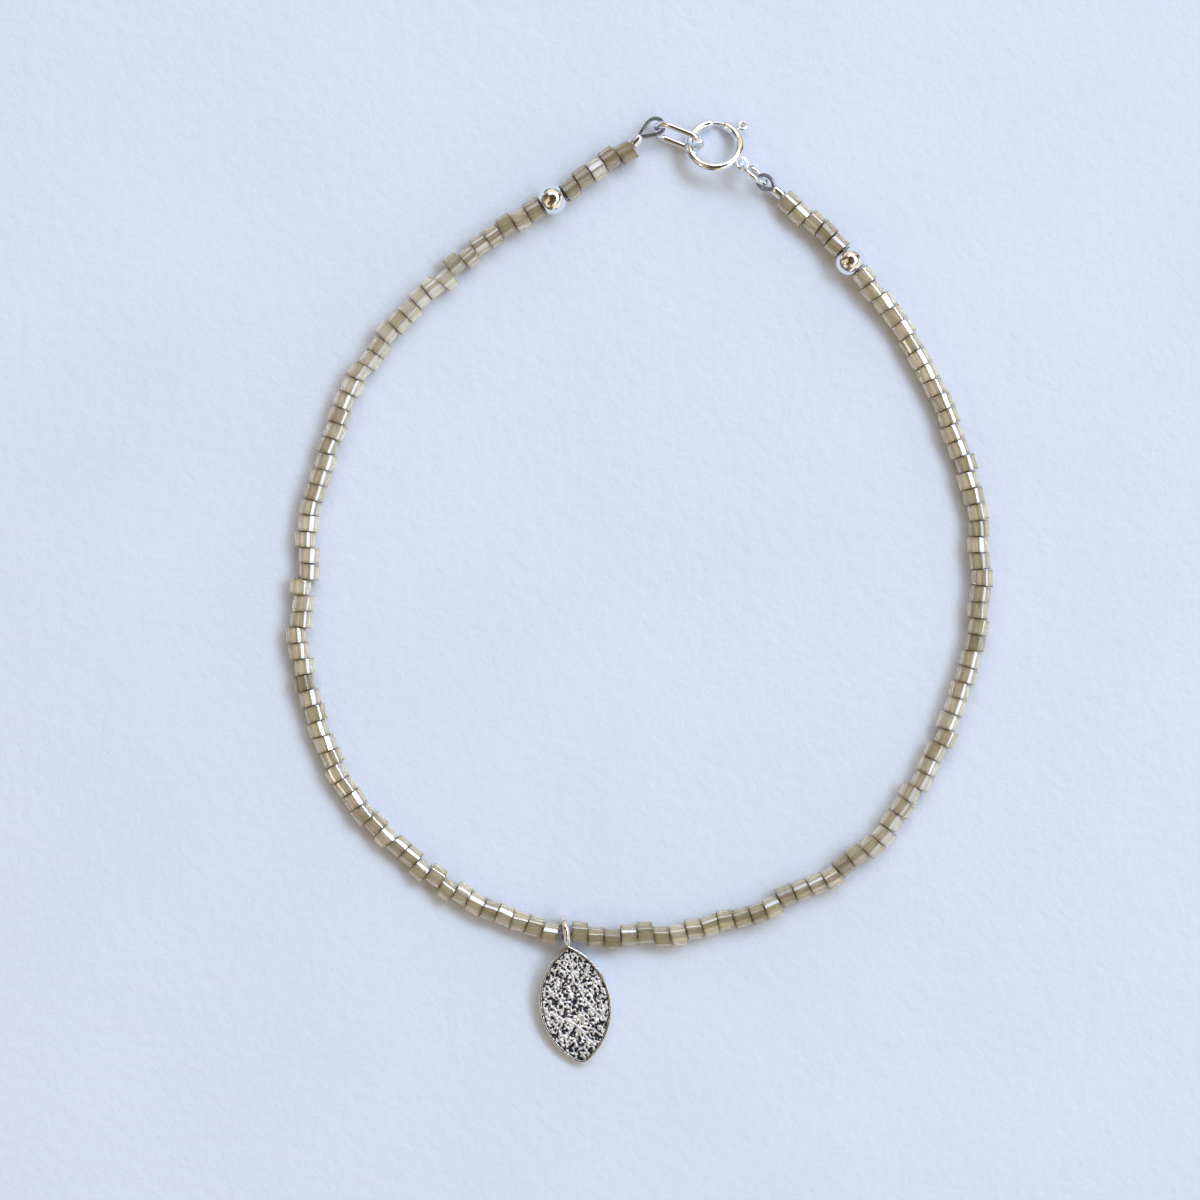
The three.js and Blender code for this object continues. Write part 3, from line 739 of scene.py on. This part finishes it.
def end_loop(side, material):
    """The cable leaves the crimp, goes round its ring and comes back beside itself."""
    _, end, along, across = crimp_axis(side)
    apart = CABLE["radius"] + STRAND_GAP / 2
    inside = end - along * (CRIMP["length"] - 2 * NEIGHBOUR_GAP)
    mouth = end + along * CABLE["radius"] * 2 / 3
    leave = [p + across * apart for p in (inside, end, mouth)]
    back = [p - across * apart for p in (mouth, end, inside)]
    path = smooth_path([*leave, *LOOPS[side], *back], 150)
    braided(path, material, f"end_loop_{side}", [f"wire_loop_{side}"], pitch=1.2)


# ---------------------------------------------------------------------------
# Rings and clasp
# ---------------------------------------------------------------------------


def end_ring(material):
    """The oval ring that the clasp hooks into."""
    length, width, wire = END_RING["length"], END_RING["width"], END_RING["wire"]
    radius = width / 2 - wire
    straight = (length - width) / 2
    steps = 72
    path = []
    for i in range(steps):
        angle = 2 * math.pi * (i + 0.5) / steps
        x = radius * math.cos(angle)
        path.append((x + math.copysign(straight, x), radius * math.sin(angle), 0))
    height = radius * math.sin(math.radians(END_RING["steepness"])) + wire
    turn = standing_turn(END_RING["heading"], END_RING["steepness"])
    place = Matrix.Translation((END_RING["x"], END_RING["y"], height)) @ turn
    skin = sweep(path, wire, 24, closed=True, normal=UP).place(place)
    piece("oval_end_ring", skin, material, BRACELET, ["end_ring"])


def clasp_matrix():
    """From the clasp's own plane to where it lies, tilted by the rings that it is hooked into."""
    return Matrix.Translation(CLASP["centre"]) @ Matrix.Rotation(math.radians(CLASP["tilt"]), 4, "X")


def eye_matrix():
    """From the clasp's plane to its eye, which stands out from the tube and droops."""
    return (
        Matrix.Rotation(math.radians(CLASP_EYE["angle"]), 4, "Z")
        @ Matrix.Translation((CLASP_TUBE["radius"], 0, 0))
        @ Matrix.Rotation(math.radians(CLASP_EYE["droop"]), 4, "Y")
        @ Matrix.Translation((CLASP_EYE["reach"], 0, 0))
    )


def torus(radius, wire, steps, sides):
    """A round ring in the XY plane."""
    path = [Vector((radius * math.cos(a), radius * math.sin(a), 0))
            for a in (2 * math.pi * i / steps for i in range(steps))]
    return sweep(path, wire, sides, closed=True, normal=UP)


def jump_ring(material):
    """A round ring that stands in the clasp's eye."""
    radius = JUMP_RING["diameter"] / 2 - JUMP_RING["wire"]
    turn = standing_turn(JUMP_RING["heading"], JUMP_RING["steepness"])
    angle = math.radians(JUMP_RING["eye_angle"])
    from_centre = turn @ Vector((radius * math.cos(angle), radius * math.sin(angle), 0))
    eye = (clasp_matrix() @ eye_matrix()).translation
    skin = torus(radius, JUMP_RING["wire"], 72, 20).place(Matrix.Translation(eye - from_centre) @ turn)
    piece("wire_jump_ring", skin, material, BRACELET, ["jump_ring"])


def plain_object(name, skin):
    """A bare object in millimetres, for cutting and joining."""
    mesh = bpy.data.meshes.new(name)
    mesh.from_pydata([tuple(p) for p in skin.points], [], skin.faces)
    obj = bpy.data.objects.new(name, mesh)
    bpy.context.scene.collection.objects.link(obj)
    return obj


def carved(base, steps):
    """The base skin after a list of ("UNION" or "DIFFERENCE", skin) steps."""
    body = plain_object("carved", base)
    for operation, skin in steps:
        tool = plain_object("tool", skin)
        modifier = body.modifiers.new("carve", "BOOLEAN")
        modifier.operation = operation
        modifier.solver = "EXACT"
        modifier.object = tool
        evaluated = body.evaluated_get(bpy.context.evaluated_depsgraph_get())
        result = bpy.data.meshes.new_from_object(evaluated)
        body.modifiers.clear()
        body.data = result
        bpy.data.objects.remove(tool)
    skin = Skin()
    skin.add([v.co.copy() for v in body.data.vertices], [tuple(p.vertices) for p in body.data.polygons])
    bpy.data.objects.remove(body)
    return skin


def slot_cutter():
    """A flat sector that cuts the trigger's slot through the tube's outer wall."""
    inner = CLASP_TUBE["radius"]
    outer = inner + CLASP_TUBE["wire"] + 0.3
    start, end = CLASP_SLOT["start"], CLASP_SLOT["end"]
    rim = arc(outer, start, end, 24) + list(reversed(arc(inner, start, end, 24)))
    half = CLASP_SLOT["width"] / 2
    points = [p + Vector((0, 0, z)) for z in (-half, half) for p in rim]
    count = len(rim)
    faces = [tuple(reversed(range(count))), tuple(range(count, 2 * count))]
    faces += [(i, (i + 1) % count, (i + 1) % count + count, i + count) for i in range(count)]
    skin = Skin()
    skin.add(points, faces)
    return skin


def clasp_ring(material):
    """The spring ring's tube with its bores, trigger slot and soldered eye."""
    radius, wire = CLASP_TUBE["radius"], CLASP_TUBE["wire"]
    start, end = CLASP_TUBE["start"], CLASP_TUBE["end"]
    path = arc(radius, start, end, 150)
    eased_ends = [0.045, 0.02, 0.006]
    radii = [wire] * len(path)
    for i, inset in enumerate(eased_ends):
        radii[i] = wire - inset
        radii[-1 - i] = wire - inset
    tube = sweep(path, radii, 32, normal=UP)
    eye = torus(CLASP_EYE["ring"], CLASP_EYE["wire"], 48, 16).place(eye_matrix())
    mouth = end - 360
    past = 3
    bore_path = arc(radius, CLASP_BORE["end"], mouth + past, 70)
    blind_path = arc(radius, start - past, CLASP_BORE["blind_end"], 8)
    steps = [("UNION", eye)]
    for bore_part in (bore_path, blind_path):
        steps.append(("DIFFERENCE", sweep(bore_part, CLASP_BORE["wire"], 20, normal=UP)))
    steps.append(("DIFFERENCE", slot_cutter()))
    skin = carved(tube, steps).place(clasp_matrix())
    piece("spring_ring", skin, material, BRACELET, ["clasp_ring"], sharp=35)


def clasp_bolt(material):
    """The bolt that bridges the gap, and its curled trigger."""
    radius, wire = CLASP_TUBE["radius"], CLASP_BOLT["wire"]
    path = arc(radius, CLASP_BOLT["tail"], CLASP_BOLT["tip"], 50)
    radii = [wire] * len(path)
    radii[-1], radii[-2] = wire * 0.6, wire * 0.92
    bolt = sweep(path, radii, 20, normal=UP)
    turn = math.radians(TRIGGER["angle"])
    outward = Vector((math.cos(turn), math.sin(turn), 0))
    stem_end = outward * (TRIGGER["radius"] - TRIGGER["ring"])
    stem = sweep([outward * radius, stem_end], TRIGGER["stem"], 16)
    curl = torus(TRIGGER["ring"], TRIGGER["wire"], 40, 16)
    curl.place(Matrix.Translation(outward * TRIGGER["radius"]))
    skin = carved(bolt, [("UNION", stem), ("UNION", curl)]).place(clasp_matrix())
    piece("spring_bolt", skin, material, BOLT, ["clasp_bolt"])


# ---------------------------------------------------------------------------
# The leaf charm
# ---------------------------------------------------------------------------


class LeafOutline:
    """A marquise between two arcs, rounded at its lower tip, about its own middle."""

    def __init__(self):
        half_length, half_width = LEAF["half_length"], LEAF["half_width"]
        self.side_radius = (half_length ** 2 + half_width ** 2) / (2 * half_width)
        self.side_centre = self.side_radius - half_width
        self.tip_radius = LEAF["tip_radius"]
        reach = self.side_radius - self.tip_radius
        self.tip_centre = -math.sqrt(reach ** 2 - self.side_centre ** 2)
        self.tangent_y = self.tip_centre * self.side_radius / reach
        self.bottom = self.tip_centre - self.tip_radius
        self.top = half_length

    def half_width(self, y):
        if y < self.tangent_y:
            return math.sqrt(max(self.tip_radius ** 2 - (y - self.tip_centre) ** 2, 0.0))
        return math.sqrt(max(self.side_radius ** 2 - y * y, 0.0)) - self.side_centre

    def inset(self, x, y):
        """How far a point lies inside the outline."""
        across = self.side_radius - math.hypot(abs(x) + self.side_centre, y)
        if y < self.tip_centre + abs(x) * self.tip_centre / self.side_centre:
            across = min(across, self.tip_radius - math.hypot(x, y - self.tip_centre))
        return across


def segment_distance(point, a, b):
    along = b - a
    t = max(0.0, min(1.0, (point - a).dot(along) / along.length_squared))
    return (point - a - along * t).length


def smoothstep(low, high, value):
    """0 below the low value, 1 above the high one, and a smooth rise between them."""
    t = max(0.0, min(1.0, (value - low) / (high - low)))
    return t * t * (3 - 2 * t)


def leaf_relief(x, y):
    """Height of the cast texture at a point of the leaf, 0 in a pit and 1 on a ridge."""
    place = Vector((x, y, 0.0))
    warp = Vector([noise.noise(place * WARP_SCALE + offset) for offset in WARP_OFFSETS]) * WARP_REACH
    spot = place + warp
    coarse = noise.noise(spot * COARSE_GRAIN["scale"] + COARSE_GRAIN["offset"])
    fine = noise.noise(spot * FINE_GRAIN["scale"] + FINE_GRAIN["offset"])
    grain = coarse * COARSE_GRAIN["weight"] + fine * FINE_GRAIN["weight"]
    height = smoothstep(PIT_LEVEL, RIDGE_LEVEL, grain + GRAIN_LIFT)
    for vein in VEINS:
        points = [Vector((*p, 0)) for p in vein["points"]]
        near = min(segment_distance(place + warp * 0.7, a, b) for a, b in zip(points, points[1:]))
        height = max(height, (1.1 + 0.5 * fine) * math.exp(-((near / vein["width"]) ** 2) * 1.5))
    return height


def leaf_front(outline, middle):
    """The textured face inside its smooth raised rim, as rows from the tip to the top."""
    rows, columns = 300, 190
    top = LEAF["thickness"] / 2
    rim, depth = LEAF["rim_width"], LEAF["rim_height"]
    points, values, polish = [], [], []
    for i in range(rows + 1):
        y = outline.bottom + (outline.top - outline.bottom) * (0.5 - 0.5 * math.cos(math.pi * i / rows))
        reach = max(outline.half_width(y), 0.004)
        for j in range(columns + 1):
            x = reach * math.sin(math.pi / 2 * (2 * j / columns - 1))
            inset = max(outline.inset(x, y), 0.0)
            on_face = smoothstep(rim * 0.8, rim * 1.25, inset)
            relief = leaf_relief(x, y + middle) if on_face > 0 else 1.0
            rounding = LEAF_SURFACE["rounding"] * (1 - smoothstep(0.0, rim * 0.45, inset))
            sunk = depth - LEAF_SURFACE["relief"] * relief + LEAF_SURFACE["pit_depth"]
            z = top - rounding - on_face * sunk
            points.append(Vector((x, y + middle, z)))
            # The colour level is lowered in a band just inside the rim, so the face is darker there,
            # while the surface keeps its height.
            dark_band_inside_rim = on_face * (1 - smoothstep(rim * 1.2, rim * 1.75, inset))
            values.append(1.0 - on_face * (1 - relief * (1 - dark_band_inside_rim * 0.8)))
            polish.append(1.0 - on_face)
    return points, values, polish, rows + 1, columns + 1


def leaf_plate():
    """The leaf as one closed skin: textured front, eased edge and flat back."""
    outline = LeafOutline()
    bail_reach = BAIL["diameter"] / 2
    middle = -(bail_reach - BAIL["overlap"] + LEAF["half_length"])
    front, values, polish, rows, columns = leaf_front(outline, middle)
    bottom = -LEAF["thickness"] / 2
    back = [Vector((p.x, p.y, bottom)) for p in front]
    skin = Skin()
    top_faces = [tuple(reversed(f)) for f in grid_faces(rows, columns, close_columns=False)]
    skin.add(front, top_faces, relief=values, polish=polish)
    border = list(range(columns))
    border += [i * columns + columns - 1 for i in range(1, rows)]
    border += [(rows - 1) * columns + j for j in reversed(range(columns - 1))]
    border += [i * columns for i in reversed(range(1, rows - 1))]
    start = len(front)
    ease = LEAF_SURFACE["back_ease"]
    edge = [back[k] + UP * ease for k in border]
    centre = Vector((0, middle, 0))
    eased = [back[k] + (centre - back[k]).normalized() * ease for k in border]
    for p in eased:
        p.z = bottom
    skin.add(edge + eased, [], relief=[1.0] * (2 * len(border)), polish=[1.0] * (2 * len(border)))
    count = len(border)
    for i in range(count):
        j = (i + 1) % count
        skin.faces.append((border[j], border[i], start + i, start + j))
        skin.faces.append((start + j, start + i, start + count + i, start + count + j))
    skin.faces.append(tuple(start + count + i for i in reversed(range(count))))
    return skin


def leaf_charm(material):
    """The leaf with its bail ring, resting on its tip and on the ring."""
    plate = leaf_plate()
    bail_reach = BAIL["diameter"] / 2
    ring = torus(bail_reach - BAIL["wire"], BAIL["wire"], 80, 28)
    ring.place(Matrix.Rotation(math.pi / 2 + math.radians(BAIL["roll"]), 4, "Y"))
    ring.values["relief"] = [1.0] * len(ring.points)
    ring.values["polish"] = [1.0] * len(ring.points)
    length = bail_reach - BAIL["overlap"] + 2 * LEAF["half_length"]
    slope = math.asin((bail_reach - LEAF["thickness"] / 2) / length)
    place = (
        Matrix.Translation((BAIL["x"], BAIL["y"], bail_reach))
        @ Matrix.Rotation(math.radians(LEAF["heading"]), 4, "Z")
        @ Matrix.Rotation(slope, 4, "X")
    )
    skin = merged(plate, ring).place(place)
    piece("leaf_and_bail", skin, material, BRACELET, ["leaf_charm"], sharp=60)


# ---------------------------------------------------------------------------
# Floor, light and camera
# ---------------------------------------------------------------------------


# Lights stand round the bracelet in metres, with angles in degrees from +X and from the floor.
ROOM_STRENGTH = 0.685
WINDOW = {"elevation": 49.0, "distance": 2.0, "size": (0.9, 0.68), "colour": (0.6, 0.735, 0.98)}
WINDOW_PANES = [
    {"name": "window_right", "azimuth": -41.0, "power": 3.0},
    {"name": "window_upper_right", "azimuth": -4.0, "power": 7.4},
    {"name": "window_middle", "azimuth": 33.0, "power": 18.6},
    {"name": "window_upper_left", "azimuth": 70.0, "power": 9.4},
    {"name": "window_left", "azimuth": 107.0, "power": 5.4},
]
LAMP = {
    "name": "lamp", "azimuth": 210.0, "power": 1.1,
    "elevation": 40.0, "distance": 2.0, "size": (0.3, 0.4), "colour": (1.0, 0.86, 0.68),
}
CAMERA = {"height": 350.0, "frame_width": 99.6, "x": -3.29, "y": -0.81}


def paper_floor():
    mesh = bpy.data.meshes.new("paper_floor")
    reach = 2.0
    level = -0.00001  # just under the pieces that rest at zero
    corners = [(-reach, -reach), (reach, -reach), (reach, reach), (-reach, reach)]
    mesh.from_pydata([(x, y, level) for x, y in corners], [], [(0, 1, 2, 3)])
    mesh.materials.append(paper_material())
    floor = bpy.data.objects.new("paper_floor", mesh)
    bpy.context.scene.collection.objects.link(floor)


def soft_light(name, azimuth, power, elevation, distance, size, colour):
    """A rectangular light aimed at the bracelet."""
    light = bpy.data.lights.new(name, "AREA")
    light.shape = "RECTANGLE"
    light.size, light.size_y = size
    light.energy = power
    light.color = colour
    a, e = math.radians(azimuth), math.radians(elevation)
    direction = Vector((math.cos(a) * math.cos(e), math.sin(a) * math.cos(e), math.sin(e)))
    obj = bpy.data.objects.new(name, light)
    obj.location = direction * distance
    obj.rotation_euler = (-direction).to_track_quat("-Z", "Y").to_euler()
    bpy.context.scene.collection.objects.link(obj)


def room_light():
    """A warm, dim, uneven room that is darkest overhead."""
    world = bpy.data.worlds.new("room")
    bpy.context.scene.world = world
    world.use_nodes = True
    nodes, links = world.node_tree.nodes, world.node_tree.links
    coordinates = nodes.new("ShaderNodeTexCoord")
    split = nodes.new("ShaderNodeSeparateXYZ")
    links.new(coordinates.outputs["Generated"], split.inputs[0])
    height = nodes.new("ShaderNodeValToRGB")
    fill_ramp(height, [
        (0.0, (0.62, 0.61, 0.59)), (0.25, (0.72, 0.66, 0.56)), (0.5, (0.73, 0.57, 0.35)),
        (0.9, (0.57, 0.44, 0.265)), (0.985, (0.36, 0.28, 0.19)),
    ])
    links.new(split.outputs["Z"], height.inputs["Fac"])
    patches = nodes.new("ShaderNodeTexNoise")
    patches.inputs["Scale"].default_value = 1.7
    patches.inputs["Detail"].default_value = 0.6
    links.new(coordinates.outputs["Generated"], patches.inputs["Vector"])
    contrast = nodes.new("ShaderNodeValToRGB")
    fill_ramp(contrast, [(0.38, (0.3, 0.255, 0.21)), (0.5, (0.74, 0.68, 0.6)), (0.6, (2.0, 2.1, 2.2))])
    links.new(patches.outputs["Fac"], contrast.inputs["Fac"])
    product = nodes.new("ShaderNodeVectorMath")
    product.operation = "MULTIPLY"
    links.new(height.outputs["Color"], product.inputs[0])
    links.new(contrast.outputs["Color"], product.inputs[1])
    background = nodes["Background"]
    links.new(product.outputs[0], background.inputs["Color"])
    background.inputs["Strength"].default_value = ROOM_STRENGTH


def overhead_camera():
    """Straight above the bracelet, a little to the left of its middle."""
    camera = bpy.data.cameras.new("camera")
    to_beads = CAMERA["height"] - BEAD["radius"]
    camera.sensor_width = 36.0
    camera.lens = camera.sensor_width * to_beads / CAMERA["frame_width"]
    camera.clip_start, camera.clip_end = 0.01, 20.0
    obj = bpy.data.objects.new("camera", camera)
    obj.location = Vector((CAMERA["x"], CAMERA["y"], CAMERA["height"])) * MM
    bpy.context.scene.collection.objects.link(obj)
    bpy.context.scene.camera = obj


# ---------------------------------------------------------------------------
# The bracelet
# ---------------------------------------------------------------------------

glass = glass_material()
silver = silver_material("polished_silver", roughness=0.1, dents=0.08)
bright_silver = silver_material("bright_silver", roughness=0.06, dents=0.45)
steel = cable_material()

glass_runs(glass)
strung_cable(steel)
for landmark in LANDMARKS:
    if landmark["name"].startswith("silver"):
        silver_bead(landmark, bright_silver)
for end in ("left", "right"):
    crimp(end, silver)
    end_loop(end, steel)
end_ring(silver)
clasp_ring(silver)
clasp_bolt(silver)
jump_ring(silver)
leaf_charm(leaf_material())

paper_floor()
for pane in WINDOW_PANES:
    soft_light(**pane, **WINDOW)
soft_light(**LAMP)
room_light()
overhead_camera()
bpy.context.scene.view_settings.view_transform = "Standard"
